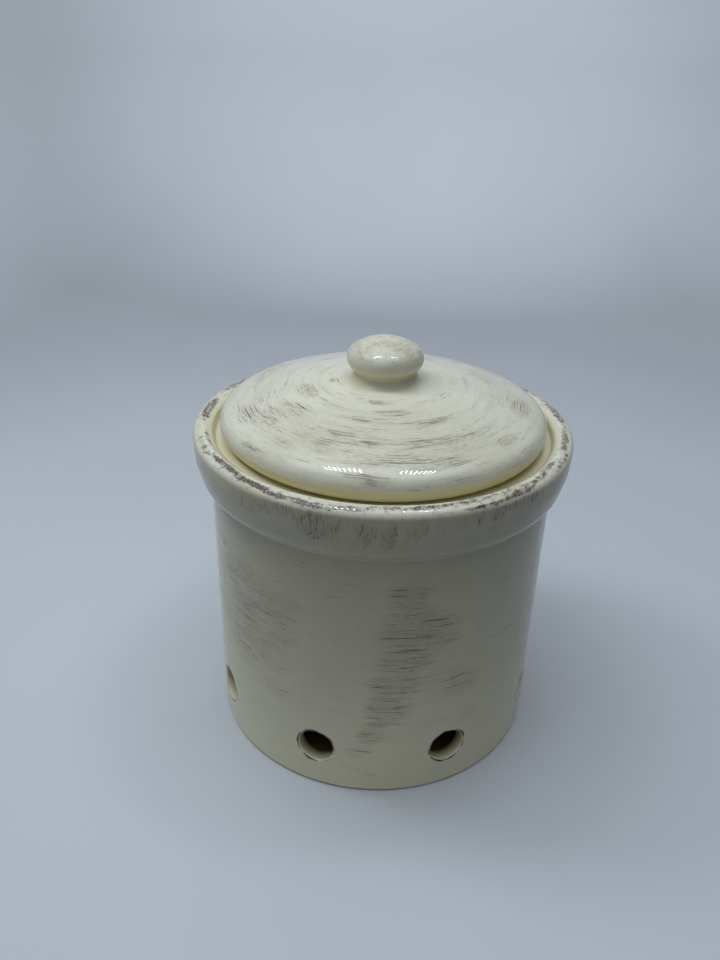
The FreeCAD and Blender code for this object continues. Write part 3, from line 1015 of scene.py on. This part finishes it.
def light_room(studio):
    """A room that is bright overhead, a little bright on the left and in front, else dark."""
    world = bpy.data.worlds.new("light_room")
    tree = empty_tree(world)
    facing = add_node(tree, "TexCoord").outputs["Generated"]

    def eased(direction, start, end, elsewhere, there):
        """A strength that eases from elsewhere to there as a ray turns toward a direction."""
        toward = Vector(direction).normalized()
        toward.rotate(Matrix.Rotation(studio.camera_azimuth, 3, "Z"))
        share = add_node(tree, "VectorMath", {0: facing, 1: toward}, operation="DOT_PRODUCT")
        return add_node(tree, "MapRange", {
            "Value": share.outputs["Value"], "From Min": start, "From Max": end,
            "To Min": elsewhere, "To Max": there}, interpolation_type="SMOOTHSTEP")

    glow = 0.0
    for direction, start, end, strength in ROOM_GLOWS:
        share = eased(direction, start, end, 0.0, strength)
        glow = add_node(tree, "Math", {0: glow, 1: share})
    shade = eased(*VIEWER, 1.0, VIEWER_SHADE)
    glow = add_node(tree, "Math", {0: glow, 1: shade}, operation="MULTIPLY")
    glow = add_node(tree, "Math", {0: glow, 1: ROOM_DIM})
    room = add_node(tree, "Background", {"Color": (*ROOM_TINT, 1), "Strength": glow})
    add_node(tree, "OutputWorld", {"Surface": room})
    bpy.context.scene.world = world


def set_camera(studio):
    """A camera looking down at the pot from a little to the left."""
    yaw, tilt, roll = studio.camera_yaw, studio.camera_tilt, studio.camera_roll
    ahead = Vector((math.sin(yaw) * math.cos(tilt), math.cos(yaw) * math.cos(tilt),
                    -math.sin(tilt)))
    right = Vector((math.cos(yaw), -math.sin(yaw), 0))
    up = right.cross(ahead)
    right, up = (math.cos(roll) * right + math.sin(roll) * up,
                 math.cos(roll) * up - math.sin(roll) * right)
    lens = bpy.data.cameras.new("camera")
    lens.sensor_width, lens.lens = 36.0, studio.lens
    lens.clip_start, lens.clip_end = 0.01, 20.0
    camera = bpy.data.objects.new("camera", lens)
    bpy.context.scene.collection.objects.link(camera)
    facing = Matrix((right, up, -ahead)).transposed().to_4x4()
    place = Matrix.Translation((0, -studio.camera_reach, studio.camera_height))
    camera.matrix_world = Matrix.Rotation(studio.camera_azimuth, 4, "Z") @ place @ facing
    bpy.context.scene.camera = camera


class BuildStage(bpy.types.Operator):
    """Lays the paper, hangs the lamps and sets the camera."""
    bl_idname = "garlic_keeper.stage"
    bl_label = "Stage"

    def execute(self, context):
        studio = context.scene.studio_setup
        lay_paper(studio.paper)
        hang_lamps(studio)
        set_camera(studio)
        light_room(studio)
        context.scene.view_settings.view_transform = "Standard"
        return {"FINISHED"}


class KeeperPanel(bpy.types.Panel):
    """The garlic keeper's sizes, colours and pieces."""
    bl_idname = "VIEW3D_PT_garlic_keeper"
    bl_label = "Garlic Keeper"
    bl_space_type = "VIEW_3D"
    bl_region_type = "UI"
    bl_category = "Garlic Keeper"

    def draw(self, context):
        scene = context.scene
        for group in (scene.crock_sizes, scene.lid_sizes, scene.glaze_colours,
                      scene.studio_setup):
            box = self.layout.box()
            for name in group.__annotations__:
                box.prop(group, name)
        for operator in OPERATORS:
            self.layout.operator(operator.bl_idname)


GROUPS = {
    "crock_sizes": CrockSizes,
    "lid_sizes": LidSizes,
    "glaze_colours": GlazeColours,
    "studio_setup": StudioSetup,
}
OPERATORS = (BuildCrock, BuildLid, BuildKnob, BuildStage)


def register():
    for item in (*GROUPS.values(), *OPERATORS, KeeperPanel):
        bpy.utils.register_class(item)
    for name, group in GROUPS.items():
        setattr(bpy.types.Scene, name, PointerProperty(type=group))


def unregister():
    for name in GROUPS:
        delattr(bpy.types.Scene, name)
    for item in (KeeperPanel, *OPERATORS[::-1], *GROUPS.values()):
        bpy.utils.unregister_class(item)


def main():
    register()
    bpy.ops.garlic_keeper.crock()
    bpy.ops.garlic_keeper.lid()
    bpy.ops.garlic_keeper.knob()
    bpy.ops.garlic_keeper.stage()


if __name__ == "__main__":
    main()
